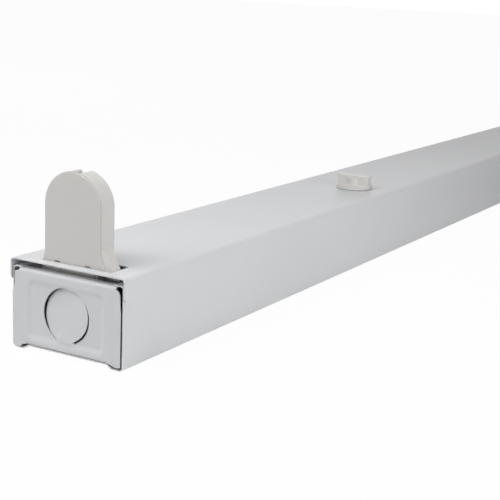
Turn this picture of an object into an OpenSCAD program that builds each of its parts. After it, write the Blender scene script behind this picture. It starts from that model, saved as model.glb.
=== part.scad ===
// One-lamp T8 batten, lying on its back with its lampholders up.
// X runs along the batten and Z points away from its back, in millimetres.
// The origin is the middle of the back, and the left end is the one at -X.

/* [Batten] */
// Overall length
batten_len = 1228; // [900:1:1800]
// Width over the cover
cover_w = 55; // [53:0.5:70]
// Height of the cover's top above the back
cover_top = 36.4; // [35:0.1:45]
// Sheet steel of the channel, the cover and the end plates
sheet_t = 0.5; // [0.4:0.05:0.6]
// Bend radius, to the middle of the sheet
bend_r = 1.2; // [1:0.1:1.5]

/* [Channel] */
// Side play between the channel and the cover's flanges
cover_play = 0.3; // [0.25:0.05:0.6]
// Gap between the channel's lips and the cover's underside
lip_gap = 2.5; // [1.5:0.1:4]
// Width of the folded lips
lip_w = 4.5; // [3:0.1:6]
// Width of each foot that the channel lies on
foot_w = 5.3; // [4.5:0.1:6]
// Height of the raised back between the feet
foot_rise = 1.4; // [0.9:0.05:1.8]
// Width of the slope between a foot and the raised back
slope_w = 2; // [1.5:0.1:2.5]

/* [Mounting] */
// Distance of the mounting slots from the ends
mount_inset = 164; // [130:1:200]
// Width of a mounting slot
mount_slot_w = 5.5; // [4:0.1:7]
// End to end length of a mounting slot
mount_slot_len = 14; // [10:0.5:20]
// Distance of the outer back knockouts from the ends
knockout_inset = 105; // [70:1:110]

/* [Knockouts] */
// Radius of the cable knockouts
knockout_r = 11.1; // [8:0.1:11.5]
// Width of the sheared slit round a knockout
slit_w = 0.45; // [0.25:0.05:0.6]
// Width of a tie that still holds a knockout
tie_w = 3; // [1.5:0.1:4]
// Height of the end knockouts' centre above the back
knockout_z = 16.9; // [15.5:0.1:18]
// Tilt of the half-sheared disc in the end plate, in degrees
disc_tilt = 4; // [0:0.5:4]
// Width of the pressed tongue under the end knockout
tongue_w = 8.6; // [5:0.1:9]
// Height that the tongue laps over the disc
tongue_lap = 6; // [3:0.1:8]

/* [End plates] */
// Distance of the plate's face inside the cover's end
plate_inset = 0.1; // [0.1:0.05:0.5]
// Gap between a plate and the channel's lips and sheet
plate_gap = 0.05; // [0.03:0.01:0.15]
// Distance of the channel's end behind a plate
channel_back = 0.1; // [0.05:0.05:3]
// Distance of the plate's lower far edge inside the channel's outline
plate_in = 0.2; // [0.1:0.05:0.4]
// The same on the near side
near_in = 1.05; // [0.1:0.05:1.2]
// Height of the plate's far foot above the back
far_sole = 0.4; // [0.05:0.05:1.4]
// Height of its near foot
near_sole = 1.3; // [0.05:0.05:1.4]
// Height of the shoulder where the plate grows narrower
shoulder_z = 22.5; // [15:0.1:23]
// Step in at that shoulder on the far side
shoulder_w = 1.1; // [0.5:0.1:2]
// Step in at that shoulder on the near side
near_step = 0.3; // [0.1:0.1:1]
// Sideways offset of the panel and the end knockout at the left end
fit_y = 0.5; // [-0.5:0.1:1]
// Half width of the recessed panel
recess_half_w = 18.9; // [15:0.1:20]
// Height of the recess's lower edge
recess_z0 = 4.3; // [3.8:0.1:5]
// Height of the recess's upper edge
recess_z1 = 29.2; // [28.8:0.1:30]
// Depth of the recess
recess_depth = 0.75; // [0.3:0.05:1]
// Width of the recess's sloping border
recess_slope = 2.2; // [0.8:0.1:2.4]
// Corner radius of the recess
recess_r = 3.4; // [2.5:0.1:5]

/* [Cover] */
// Drop of the flanges below the cover's top
flange_drop = 9.5; // [6:0.1:12]
// Radius of the flanges' lower corners
flange_corner_r = 3; // [1:0.1:4]
// Play between the lampholder's base and the cover's slot
slot_play = 0.35; // [0.3:0.05:0.8]
// Open length of the slot behind the lampholder
slot_behind = 3.05; // [1:0.05:6]

/* [Lampholders] */
// Distance of a lampholder's outer face from the batten's end
holder_x = 4.85; // [4.5:0.05:6]
// Thickness of a lampholder along the batten
holder_t = 8.4; // [7.8:0.05:9.5]
// Width of a lampholder above its skirt
holder_w = 27.3; // [25.5:0.1:28]
// Sideways offset of the left lampholder; the right one is on the other side
holder_y = 1; // [0:0.1:1.5]
// Height of the lamp's axis above the cover
lamp_axis = 22.55; // [20:0.05:26]
// Height of the flared skirt on the wide side
skirt_h = 10.5; // [8:0.5:16]
// Height of the flared skirt on the slim side
skirt_low_h = 4; // [2:0.5:8]
// Flare of the skirt on the wide side
skirt_wide = 4.8; // [3:0.05:5]
// Flare of the skirt on the slim side
skirt_slim = 1; // [0.9:0.05:1.6]
// Wall of the moulding
holder_wall = 1.4; // [1.2:0.05:1.6]
// Thickness of the plate that closes the moulding's outer side
back_t = 0.95; // [0.8:0.05:1.2]
// Distance of that plate's edge inside the moulding's outline
back_in = 0.35; // [0.2:0.05:0.5]
// Height that the plate stands proud of the moulding's rim
back_proud = 0.45; // [0.05:0.05:0.6]
// Flare of the plate on the wide side
back_wide = 2.5; // [1:0.05:3]
// Height of that flare
back_flare_h = 6.5; // [4:0.5:12]
// Length of the two slits at the plate's foot
notch_len = 2.7; // [1:0.1:4]
// Height of those slits
notch_h = 0.5; // [0.3:0.05:1]
// Distance of those slits from the lampholder's middle
notch_y = 7.4; // [4:0.1:9]
// Width of the slot for the lamp's pins
pin_slot_w = 3.4; // [3:0.1:4]
// Radius of that slot's rounded mouth
slot_mouth_r = 1.2; // [0.5:0.1:2]
// Depth of the lampholder below the cover's top
holder_depth = 16; // [14:0.1:17]
// Thickness of the lampholder's steel bracket
bracket_t = 1; // [0.8:0.05:1.2]
// Length of that bracket's foot
bracket_foot = 24; // [20:0.5:28]

/* [Rotors] */
// Radius of a rotor's face
rotor_r = 8; // [7.8:0.05:8.5]
// Running clearance round a rotor
rotor_play = 0.08; // [0.05:0.01:0.1]
// Radius of the collar that holds a rotor in
collar_r = 9.3; // [9:0.05:10]
// Radius of the hub between the contacts
hub_r = 7; // [6.7:0.05:7.1]
// Width of the groove for the lamp's pins
groove_w = 2.8; // [2.5:0.05:3]
// Height that a rotor stands proud of its lampholder
rotor_proud = 0.4; // [0.2:0.05:1]

/* [Latches] */
// Distance of the latches from the ends
latch_inset = 240; // [220:1:270]
// Offset of the left latch from the centre line; the right one is on the other side
latch_y = -8; // [-9:0.5:0]
// Width of a latch bracket along the batten
bridge_w = 22; // [16:0.5:30]
// Length of each foot of a latch bracket
bridge_foot = 4.5; // [4:0.1:6]
// Radius of the threaded stud
stud_r = 2; // [1.5:0.1:2.5]
// Height of the stud above the cover
stud_rise = 5; // [3:0.1:5.5]
// Radius of a knob's base
knob_r = 9.8; // [8:0.1:12]
// Height of a knob's base
knob_base_h = 2; // [1.2:0.1:3]
// Height of a knob
knob_h = 7.4; // [7:0.1:10]
// Length of a knob's wing
wing_len = 18.4; // [15:0.1:19]
// Thickness of a knob's wing
wing_t = 5.8; // [5:0.1:7]
// Gap under a knob
knob_gap = 0.25; // [0.2:0.05:0.5]

/* [Terminal block] */
// Distance of the block's middle from the batten's middle
block_x = 70; // [60:1:90]
// Offset of the block from the centre line
block_y = -6; // [-8:0.5:-4]
// Spacing of the poles
pole_pitch = 10; // [9:0.1:12]
// Depth of the block across the batten
block_depth = 17; // [15:0.1:20]
// Height of the block
block_h = 15; // [13.5:0.1:18]
// Length of each fixing ear
ear_len = 7.5; // [7:0.1:10]

/* [Wiring] */
// Diameter of an insulated wire
wire_d = 2.4; // [1.8:0.1:2.6]
// Length of a wire clip
clip_len = 7; // [4:0.1:10]
// Number of wire clips on each side
clip_count = 3; // [1:1:5]

/* [Hidden] */

// Colours of the finishes
enamel = [0.86, 0.865, 0.87];
moulding = [0.83, 0.825, 0.80];
zinc = [0.72, 0.73, 0.75];
bronze = [0.78, 0.62, 0.38];

// Smoothness of round faces and of the sheet's bends
$fn = 64;
bend_steps = 5;
// Overrun of every cut
over = 1;
// Gap where a nearly touching pair must stay apart
seat_gap = 0.2;

// The channel's derived sizes
channel_w = cover_w - 2 * (sheet_t + cover_play);
plate_back = plate_inset + sheet_t;
channel_len = batten_len - 2 * (plate_back + channel_back);
mid_floor = foot_rise + sheet_t;
mid_half = channel_w / 2 - foot_w - slope_w;
cover_under = cover_top - sheet_t;
lip_top = cover_under - lip_gap;
slope_fit = 0.4;

// The lampholder's derived sizes, measured from the batten's end
holder_front = holder_x + holder_t;
axis_z = cover_top + lamp_axis;
holder_r = holder_w / 2;
cavity_x = holder_x + back_t;
front_wall_x = holder_front - holder_wall;
wide_edge = holder_y - holder_r - skirt_wide;
slim_edge = holder_y + holder_r + skirt_slim;
holder_low = cover_top - holder_depth;
// The lampholder's base reaches just below the cover's underside
base_lap = 0.4;
base_low = cover_under - base_lap;
// Its lower part has cheeks that are narrower than the skirt on the wide side
cheek_inset = 6.75;
cheek_wide = wide_edge + cheek_inset;
cheek_slim = slim_edge;
// The plate lies in a pocket of the moulding, whose rim is this far from the batten's end
rim_x = holder_x + back_proud;
pocket_play = 0.05;
// The skirt ends short of the moulding's inner face, and its outer corner is cut back to the plate
skirt_back = 1.95;
skirt_cut = 1.6;
skirt_steps = 10;
skirt_curve = 1.4;
// Small step where the arch meets its straight sides, so that they cross and don't graze
arch_step = 0.02;
mouth_steps = 6;

// Ribs on the cheeks make a groove that the bracket's edges slide into
rib_w = 1;
rib_out = 1.2;
rib_top = lip_top - sheet_t - seat_gap;
bracket_x = holder_x + holder_t / 2 - bracket_t / 2;
groove_play = 0.1;
yoke_low = 7;
bracket_half = mid_half - slope_fit;

// Rotor and contact
collar_t = 1.2;
collar_play = 0.15;
collar_x1 = front_wall_x - collar_play;
collar_x0 = collar_x1 - collar_t;
hub_x = cavity_x + collar_play + seat_gap;
groove_floor = 0.35;
contact_t = 0.4;
contact_gap = 0.3;
contact_x0 = cavity_x + contact_gap;
contact_x1 = collar_x0 - contact_gap;
contact_out = 0.75;
contact_spread = 0.9;
contact_up = 4.5;
contact_down = 6;
contact_base = 11.5;
contact_wide = 2.6;
tab_w = 4;
tab_lap = 5;
tab_low = holder_low + tab_lap;
tab_x = (contact_x0 + contact_x1) / 2;

// Rivets that hold the end plates together with the lampholders' brackets
rivet_r = 1.6;
rivet_head_r = 3.1;
rivet_head_h = 0.9;
rivet_tail_r = 2.4;
rivet_tail_gap = 0.25;
rivet_fit = 0.05;
rivet_y = 10;
rivet_x = bracket_x + bracket_foot - 2 * rivet_head_r;
plate_clear = 0.5;
plate_corner = 1.2;
shoulder_rise = 3.6;
arc_steps = 6;
tongue_set = 0.15;
tongue_x = plate_inset + tongue_set;
plate_top = lip_top - sheet_t - plate_gap - bend_r;
flange_half = channel_w / 2 - lip_w + plate_corner;
flange_end = bracket_x + bracket_foot + plate_clear;
foot_z = mid_floor + sheet_t;

// Latch brackets, studs and knobs
bridge_t = 1;
bridge_bend = 1.5;
bridge_top = cover_under - seat_gap;
bridge_half = mid_half - slope_fit - bridge_foot;
stud_head_r = 3.5;
stud_head_h = 1;
stud_fit = 0.05;
cover_hole_r = 2 * stud_r;
insert_wall = 1;
insert_play = 0.1;
insert_h = 4.4;
insert_lap = 0.5;
knob_low = cover_top + knob_gap;
knob_top = cover_top + knob_h;
wing_round = 1.5;

// Terminal block
clamp_w = 6;
clamp_h = 7;
clamp_fit = 0.1;
clamp_bore_r = 1.9;
clamp_in = 0.6;
clamp_len = block_depth - 2 * clamp_in;
clamp_z = mid_floor + block_h / 2 - clamp_fit;
block_wall = 1;
screw_r = 1.5;
screw_fit = 0.05;
screw_head_r = 2.2;
screw_head_h = 1.4;
screw_slot_w = 0.5;
screw_slot_depth = 0.6;
screw_share = 0.28;
screw_hole_r = screw_head_r + clamp_fit;
ear_w = 10;
ear_h = 3;
fixing_r = 1.5;
fixing_head_r = 2.8;
fixing_head_h = 1.6;
fixing_tip_gap = 0.3;
block_half = 3 * pole_pitch / 2 + block_wall / 2;
fixing_x = block_half + ear_len / 2;
pole_places = [-pole_pitch, 0, pole_pitch];

// Earth stud beside the block
earth_away = 24;
earth_x = block_x + block_half + ear_len + earth_away;
earth_y = 5;
earth_r = 2;
earth_head_r = 4;
earth_head_h = 0.8;
earth_rise = 9;
washer_r = 4.4;
washer_t = 0.8;
ring_r = 4;
ring_t = 0.8;
ring_hole_r = 2.15;
barrel_r = 1.9;
barrel_len = 6;
barrel_reach = 9;
nut_flats = 7;
nut_t = 3.2;
earth_fit = 0.05;

// Wires and clips
wire_r = wire_d / 2;
wire_sides = 8;
wire_bend = 9;
wire_gap = 0.1;
lane_y = 12;
clip_wall = 0.8;
lane_z = mid_floor + wire_r + wire_gap + clip_wall;
clip_tail = 3.2;

// Vector helpers for bent sheet
function unit(v) = v / norm(v);
function left_of(d) = [-d[1], d[0]];
function turned(v, a) = [v[0] * cos(a) - v[1] * sin(a), v[0] * sin(a) + v[1] * cos(a)];
function reversed(v) = [for (i = [len(v) - 1:-1:0]) v[i]];

// Points of one bend at b, at distance k to the left of a line a-b-c bent with radius r
function bend_points(a, b, c, r, k) =
    let (d0 = unit(b - a), d1 = unit(c - b),
         side = sign(cross(d0, d1)), turn = acos(min(1, d0 * d1)),
         centre = b - d0 * r * tan(turn / 2) + left_of(d0) * side * r)
    [for (i = [0:bend_steps])
        centre + turned(left_of(d0) * (k - side * r), side * turn * i / bend_steps)];

// One face of a bent sheet whose middle line is the path
function sheet_side(path, r, k) =
    let (n = len(path))
    concat(
        [path[0] + left_of(unit(path[1] - path[0])) * k],
        [for (i = [1:n - 2]) each bend_points(path[i - 1], path[i], path[i + 1], r, k)],
        [path[n - 1] + left_of(unit(path[n - 1] - path[n - 2])) * k]);

// Section of a bent sheet of thickness t
module sheet_section(path, t, r) {
    polygon(concat(sheet_side(path, r, t / 2), reversed(sheet_side(path, r, -t / 2))));
}

// Extrude a section drawn in Y and Z along X
module along_x(x0, x1) {
    translate([x0, 0, 0]) rotate([90, 0, 90]) linear_extrude(x1 - x0) children();
}

// Extrude a section drawn in X and Z along Y
module along_y(y0, y1) {
    translate([0, y1, 0]) rotate([90, 0, 0]) linear_extrude(y1 - y0) children();
}

// A block between two corners
module block(p0, p1) {
    translate(p0) cube(p1 - p0);
}

// A cylinder along X from x0 to x1, at y and z
module bar_x(x0, x1, y, z, r) {
    translate([x0, y, z]) rotate([0, 90, 0]) cylinder(h = x1 - x0, r = r);
}

// A cylinder along Z from z0 to z1
module post(x, y, z0, z1, r) {
    translate([x, y, z0]) cylinder(h = z1 - z0, r = r);
}

// Place a piece drawn from the left end at the left end or, turned round, at the right end
module at_left() {
    translate([-batten_len / 2, 0, 0]) children();
}
module at_right() {
    rotate([0, 0, 180]) translate([-batten_len / 2, 0, 0]) children();
}

// Middle line of the channel's section, from one lip to the other
function half_channel(s) =
    [[s * (channel_w / 2 - lip_w), lip_top - sheet_t / 2],
     [s * (channel_w / 2 - sheet_t / 2), lip_top - sheet_t / 2],
     [s * (channel_w / 2 - sheet_t / 2), sheet_t / 2],
     [s * (channel_w / 2 - foot_w), sheet_t / 2],
     [s * mid_half, foot_rise + sheet_t / 2]];

// Sheared slit of a back knockout, with its three ties left out
module back_slit(x) {
    translate([x, 0, 0]) difference() {
        post(0, 0, -over, mid_floor + over, knockout_r);
        post(0, 0, -2 * over, mid_floor + 2 * over, knockout_r - slit_w);
        for (a = [0, 120, 240]) rotate([0, 0, a])
            block([0, -tie_w / 2, -2 * over], [knockout_r + over, tie_w / 2, mid_floor + 2 * over]);
    }
}

// Round-ended slot through the back
module mount_slot(x) {
    reach = (mount_slot_len - mount_slot_w) / 2;
    for (s = [-1, 1]) post(x + s * reach, 0, -over, mid_floor + over, mount_slot_w / 2);
    block([x - reach, -mount_slot_w / 2, -over], [x + reach, mount_slot_w / 2, mid_floor + over]);
}

// Back tray of the batten
module channel() {
    color(enamel) difference() {
        along_x(-channel_len / 2, channel_len / 2)
            sheet_section(concat(half_channel(1), reversed(half_channel(-1))), sheet_t, bend_r);
        for (s = [-1, 1]) {
            mount_slot(s * (batten_len / 2 - mount_inset));
            back_slit(s * (batten_len / 2 - knockout_inset));
        }
        back_slit(0);
        at_left() rivet_holes();
        at_right() rivet_holes();
        for (s = [-1, 1])
            post(block_x + s * fixing_x, block_y, -over, mid_floor + over, fixing_r + screw_fit);
        post(earth_x, earth_y, -over, mid_floor + over, earth_r + earth_fit);
    }
}

// Holes for the two rivets of the left end
module rivet_holes() {
    for (t = [-1, 1])
        post(rivet_x, t * rivet_y, -over, foot_z + bracket_t + over, rivet_r + rivet_fit);
}

// A domed rivet through the back, the end plate's flange and the bracket's foot
module rivet() {
    top = foot_z + bracket_t;
    dome = (rivet_head_r * rivet_head_r + rivet_head_h * rivet_head_h) / (2 * rivet_head_h);
    post(0, 0, rivet_tail_gap, foot_rise, rivet_tail_r);
    post(0, 0, foot_rise, top, rivet_r);
    translate([0, 0, top]) intersection() {
        cylinder(h = rivet_head_h, r = rivet_head_r);
        translate([0, 0, rivet_head_h - dome]) sphere(r = dome);
    }
}

module end_rivets() {
    color(zinc) for (s = [-1, 1], t = [-1, 1])
        translate([s * (batten_len / 2 - rivet_x), t * rivet_y, 0]) rivet();
}

// Rounded rectangle in Y and Z, with the panel's offset
module panel(half_w, z0, z1, r) {
    translate([fit_y, 0]) {
        translate([-half_w + r, z0]) square([2 * (half_w - r), z1 - z0]);
        translate([-half_w, z0 + r]) square([2 * half_w, z1 - z0 - 2 * r]);
        for (s = [-1, 1], z = [z0 + r, z1 - r])
            translate([s * (half_w - r), z]) circle(r = r, $fn = 32);
    }
}

// Tapered body of the recess, its mouth at x and its floor at x + recess_depth
module recess_body(x) {
    hull() {
        along_x(x - slit_w, x) panel(recess_half_w, recess_z0, recess_z1, recess_r);
        along_x(x, x + recess_depth)
            panel(recess_half_w - recess_slope, recess_z0 + recess_slope,
                  recess_z1 - recess_slope, recess_r - recess_slope / 2);
    }
}

// Points of an arc round c from angle a0 to a1
function arc(c, r, a0, a1) =
    [for (i = [0:arc_steps]) c + r * [cos(a0 + (a1 - a0) * i / arc_steps), sin(a0 + (a1 - a0) * i / arc_steps)]];

// One half of the end plate's outline, from the middle of its top to the middle of its bottom
function half_plate(corner, inset, step, sole) =
    let (low = channel_w / 2 - inset, high = low - step, top = plate_top, bottom = mid_floor + plate_gap,
         in = channel_w / 2 - foot_w, foot = foot_w / 3)
    concat(
        [[0, top]],
        arc([high - corner, top - corner], corner, 90, 0),
        [for (i = [0:arc_steps]) let (a = 180 * i / arc_steps)
            [high + step * (1 - cos(a)) / 2, shoulder_z + shoulder_rise * (1 - i / arc_steps)]],
        arc([low - foot, sole + foot], foot, 0, -90),
        [[in + foot, sole], [in, mid_floor], [in - slope_w, bottom + sheet_t], [0, bottom + sheet_t]]);

// Flat outline of the end plate, whose near side is narrower, rounder at the top and higher at its foot
module plate_outline() {
    far = half_plate(plate_corner, plate_in, shoulder_w, far_sole);
    near = half_plate(2 * plate_corner, near_in, near_step, near_sole);
    polygon(concat(far, reversed([for (q = near) [-q[0], q[1]]])));
}

// Bent flanges of the end plate: top and bottom
module plate_flanges() {
    x = plate_inset + sheet_t / 2;
    reach = 2 * bend_r + sheet_t;
    top_z = plate_top + bend_r - sheet_t / 2;
    low_z = mid_floor + sheet_t / 2;
    low_half = mid_half - slope_fit;
    along_y(-flange_half, flange_half)
        sheet_section([[x, top_z - reach], [x, top_z], [holder_x - plate_clear, top_z]], sheet_t, bend_r);
    along_y(-low_half, low_half)
        sheet_section([[x, low_z + reach], [x, low_z], [flange_end, low_z]], sheet_t, bend_r);
}

// The half-sheared disc, tilted so that its lower part on the near side stands out
module knockout_disc() {
    x = plate_inset + recess_depth;
    half = sheet_t / 2;
    translate([x + half, fit_y, knockout_z]) rotate(a = disc_tilt, v = [0, 1, -1])
        bar_x(-half, half, 0, 0, knockout_r - slit_w);
    block([x, fit_y - tie_w / 2, knockout_z + knockout_r - slit_w - tie_w / 2],
          [x + sheet_t + half, fit_y + tie_w / 2, knockout_z + knockout_r + slit_w]);
}

// Tongue pressed out across the knockout's lower rim
module tongue() {
    low = recess_z0 + recess_slope / 2;
    high = knockout_z - knockout_r + tongue_lap - tongue_w / 2;
    x1 = plate_back + recess_depth;
    block([tongue_x, fit_y - tongue_w / 2, low], [x1, fit_y + tongue_w / 2, high]);
    bar_x(tongue_x, x1, fit_y, high, tongue_w / 2);
}

// End plate with flanges, recessed panel and closed knockout, drawn at the left end
module end_plate() {
    color(enamel) difference() {
        union() {
            difference() {
                union() {
                    along_x(plate_inset, plate_back) plate_outline();
                    plate_flanges();
                    recess_body(plate_back);
                }
                recess_body(plate_inset);
                bar_x(plate_inset, plate_back + recess_depth + over, fit_y, knockout_z, knockout_r);
            }
            knockout_disc();
            tongue();
        }
        rivet_holes();
    }
}
module end_plate_left() { at_left() end_plate(); }
module end_plate_right() { at_right() end_plate(); }

// Bridge under the cover that carries a latch stud and the cover, drawn at the left end
module latch_bracket() {
    low = mid_floor + bridge_t / 2;
    high = bridge_top - bridge_t / 2;
    foot = mid_half - slope_fit;
    path = [[-foot, low], [-bridge_half, low], [-bridge_half, high],
            [bridge_half, high], [bridge_half, low], [foot, low]];
    color(zinc) difference() {
        along_x(latch_inset - bridge_w / 2, latch_inset + bridge_w / 2)
            sheet_section(path, bridge_t, bridge_bend);
        post(latch_inset, latch_y, high - bridge_t, cover_top, stud_r + stud_fit);
    }
}
module latch_bracket_left() { at_left() latch_bracket(); }
module latch_bracket_right() { at_right() latch_bracket(); }

// Clinch studs that the knobs screw onto
module latch_stud() {
    under = bridge_top - bridge_t;
    post(latch_inset, latch_y, under - stud_head_h, under, stud_head_r);
    post(latch_inset, latch_y, under, cover_top + stud_rise, stud_r);
}
module latch_studs() {
    color(zinc) {
        at_left() latch_stud();
        at_right() latch_stud();
    }
}

// Steel yoke that holds a lampholder by its two grooves, drawn at the left end
module holder_bracket() {
    x = bracket_x + bracket_t / 2;
    low = foot_z + bracket_t / 2;
    color(zinc) difference() {
        along_y(-bracket_half, bracket_half)
            sheet_section([[x, rib_top], [x, low], [bracket_x + bracket_foot, low]], bracket_t, bend_r);
        block([bracket_x - over, cheek_wide - groove_play, yoke_low],
              [bracket_x + bracket_t + over, cheek_slim + groove_play, rib_top + over]);
        rivet_holes();
    }
}
module holder_bracket_left() { at_left() holder_bracket(); }
module holder_bracket_right() { at_right() holder_bracket(); }

// Curve of a skirt in Y and Z: it starts upright and sweeps outward with a power of the way down
function skirt_points(y, out, high, z) =
    [for (i = [0:skirt_steps]) let (t = i / skirt_steps)
        [y + out * pow(t, skirt_curve), z + high * (1 - t)]];

// Arched body from x0 to x1, standing on z
module arch(x0, x1, r, z) {
    side = r - arch_step;
    bar_x(x0, x1, holder_y, axis_z, r);
    block([x0, holder_y - side, z], [x1, holder_y + side, axis_z]);
}

// Flared skirt of that body, wide on the near side and slim on the far side
module skirt(x0, x1, r, wide, wide_h, slim, z) {
    side = r - arch_step;
    along_x(x0, x1) translate([holder_y, 0])
        polygon(concat(skirt_points(side, slim, skirt_low_h, cover_top), [[side + slim, z], [-side - wide, z]],
                       reversed(skirt_points(-side, -wide, wide_h, cover_top))));
}

// Outline of the plate that closes a lampholder, as a body from x0 to x1; play widens it
module back_shape(x0, x1, play, z) {
    r = holder_r - back_in + play;
    arch(x0, x1, r, z);
    skirt(x0, x1, r, back_wide, back_flare_h, skirt_slim, z);
}

// What is cut off the skirt's outer corner on the wide side, from the plate's edge to the skirt's own
module skirt_corner() {
    turn = atan2(back_wide - skirt_wide, skirt_cut);
    lean = atan2(back_flare_h, back_wide * cos(turn));
    translate([rim_x, holder_y - holder_r - back_wide, cover_top]) rotate([0, 0, turn]) rotate([lean, 0, 0])
        translate([-skirt_h, -skirt_h, 0]) cube(2 * skirt_h);
}

// Slot that lets the lamp's pins in, with a rounded mouth
module pin_entry() {
    half = pin_slot_w / 2;
    y = half + slot_mouth_r;
    z = axis_z + sqrt(holder_r * holder_r - y * y) - slot_mouth_r;
    mouth = [for (i = [0:mouth_steps]) let (a = 90 * i / mouth_steps)
        [y - slot_mouth_r * cos(a), z + slot_mouth_r * sin(a)]];
    side = concat([[half, axis_z]], mouth, [[y, axis_z + holder_r + over]]);
    translate([holder_y, 0]) polygon(concat(side, reversed([for (p = side) [-p[0], p[1]]])));
}

// Moulded body of a lampholder, drawn at the left end
module lampholder_body() {
    hollow = holder_r - holder_wall;
    color(moulding) difference() {
        union() {
            arch(rim_x, holder_front, holder_r, base_low);
            difference() {
                skirt(rim_x, holder_front - skirt_back, holder_r, skirt_wide, skirt_h, skirt_slim, base_low);
                skirt_corner();
            }
            block([cavity_x, cheek_wide, holder_low], [holder_front, cheek_slim, cover_top]);
            for (x = [bracket_x - groove_play - rib_w, bracket_x + bracket_t + groove_play])
                block([x, cheek_wide - rib_out, holder_low], [x + rib_w, cheek_slim + rib_out, rib_top]);
        }
        back_shape(rim_x - over, cavity_x, pocket_play, base_low - over);
        along_x(cavity_x - over, front_wall_x) {
            translate([holder_y, axis_z]) circle(r = hollow);
            translate([holder_y - hollow, cover_top]) square([2 * hollow, lamp_axis]);
        }
        block([cavity_x - over, cheek_wide + holder_wall, holder_low - over],
              [front_wall_x, cheek_slim - holder_wall, cover_top + over]);
        along_x(cavity_x, holder_front + over) pin_entry();
        bar_x(front_wall_x - over, holder_front + over, holder_y, axis_z, rotor_r + rotor_play);
    }
}
module lampholder_body_left() { at_left() lampholder_body(); }
module lampholder_body_right() { at_right() lampholder_body(); }

// Plate that closes a lampholder's outer side; its lower part stands between the cheeks
module lampholder_back() {
    color(moulding) difference() {
        union() {
            back_shape(holder_x, cavity_x, 0, base_low);
            block([cavity_x - back_t / 2, cheek_wide + holder_wall + groove_play, holder_low],
                  [cavity_x + back_t / 2, cheek_slim - holder_wall - groove_play, cover_top]);
        }
        for (s = [-1, 1])
            block([holder_x - over, holder_y + s * notch_y - notch_len / 2, cover_top],
                  [cavity_x + over, holder_y + s * notch_y + notch_len / 2, cover_top + notch_h]);
    }
}
module lampholder_back_left() { at_left() lampholder_back(); }
module lampholder_back_right() { at_right() lampholder_back(); }

// Bronze spring that presses on both pins and takes the wire at its tab
module lamp_contact() {
    near = hub_r + contact_out;
    half = [[near + contact_spread, axis_z + contact_up], [near, axis_z],
            [near + contact_wide, axis_z - contact_down], [near + contact_wide, axis_z - contact_base]];
    other = [for (p = half) [-p[0], p[1]]];
    color(bronze) translate([0, holder_y, 0]) {
        along_x(contact_x0, contact_x1)
            sheet_section(concat(half, reversed(other)), contact_t, bend_r);
        block([tab_x - contact_t / 2, -tab_w / 2, tab_low],
              [tab_x + contact_t / 2, tab_w / 2, axis_z - contact_base]);
    }
}
module lamp_contact_left() { at_left() lamp_contact(); }
module lamp_contact_right() { at_right() lamp_contact(); }

// Rotor that turns with the lamp's pins
module rotor() {
    color(moulding) translate([0, holder_y, 0]) difference() {
        union() {
            bar_x(hub_x, collar_x1, 0, axis_z, hub_r);
            bar_x(collar_x0, collar_x1, 0, axis_z, collar_r);
            bar_x(collar_x0, holder_front + rotor_proud, 0, axis_z, rotor_r);
        }
        block([hub_x + groove_floor, -groove_w / 2, axis_z - collar_r - over],
              [holder_front + rotor_proud + over, groove_w / 2, axis_z + collar_r + over]);
    }
}
module rotor_left() { at_left() rotor(); }
module rotor_right() { at_right() rotor(); }

// The cover's slot for a lampholder
module cover_slot() {
    block([holder_x - slot_play, wide_edge - slot_play, cover_under - over],
          [holder_front + slot_behind, slim_edge + slot_play, cover_top + over]);
}

// What is cut off a flange's lower end corner to round it
module flange_corner() {
    low = cover_top - flange_drop;
    difference() {
        block([-over, -cover_w, low - over], [flange_corner_r, cover_w, low + flange_corner_r]);
        translate([flange_corner_r, -2 * cover_w, low + flange_corner_r]) rotate([-90, 0, 0])
            cylinder(h = 4 * cover_w, r = flange_corner_r);
    }
}

// What is cut out of the cover at its left end
module cover_cuts() {
    cover_slot();
    flange_corner();
    post(latch_inset, latch_y, cover_under - over, cover_top + over, cover_hole_r);
}

// Long folded cover, whole
module cover_sheet() {
    side = cover_w / 2 - sheet_t / 2;
    top = cover_top - sheet_t / 2;
    low = cover_top - flange_drop;
    difference() {
        along_x(-batten_len / 2, batten_len / 2)
            sheet_section([[side, low], [side, top], [-side, top], [-side, low]], sheet_t, bend_r);
        at_left() cover_cuts();
        at_right() cover_cuts();
    }
}

// The cover is one sheet, kept as three nodes so that each of them is flat
cover_split = cover_top - sheet_t / 2 - bend_r;
module cover_panel() {
    color(enamel) intersection() {
        cover_sheet();
        block([-batten_len, -cover_w, cover_split], [batten_len, cover_w, cover_top + over]);
    }
}
module cover_flange(y0, y1) {
    color(enamel) intersection() {
        cover_sheet();
        block([-batten_len, y0, -over], [batten_len, y1, cover_split]);
    }
}
module cover_flange_near() { cover_flange(-cover_w, 0); }
module cover_flange_far() { cover_flange(0, cover_w); }

// Winged knob over a latch stud, drawn at the left end
module knob() {
    bore = stud_r + insert_wall + insert_play;
    reach = wing_len / 2 - wing_round;
    color(moulding) translate([latch_inset, latch_y, 0]) difference() {
        union() {
            post(0, 0, knob_low, cover_top + knob_base_h, knob_r);
            for (s = [-1, 1], t = [-1, 1])
                post(s * (wing_t / 2 - wing_round), t * reach, knob_low, knob_top, wing_round);
            block([-wing_t / 2 + wing_round, -wing_len / 2, knob_low],
                  [wing_t / 2 - wing_round, wing_len / 2, knob_top]);
            block([-wing_t / 2, -reach, knob_low], [wing_t / 2, reach, knob_top]);
            post(0, 0, knob_low, knob_top - wing_round, bore + insert_wall);
        }
        post(0, 0, knob_low - over, knob_low + insert_h + seat_gap, bore);
        post(0, 0, knob_low - over, cover_top + stud_rise + insert_lap, stud_r + insert_play);
    }
}
module knob_left() { at_left() knob(); }
module knob_right() { at_right() knob(); }

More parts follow.
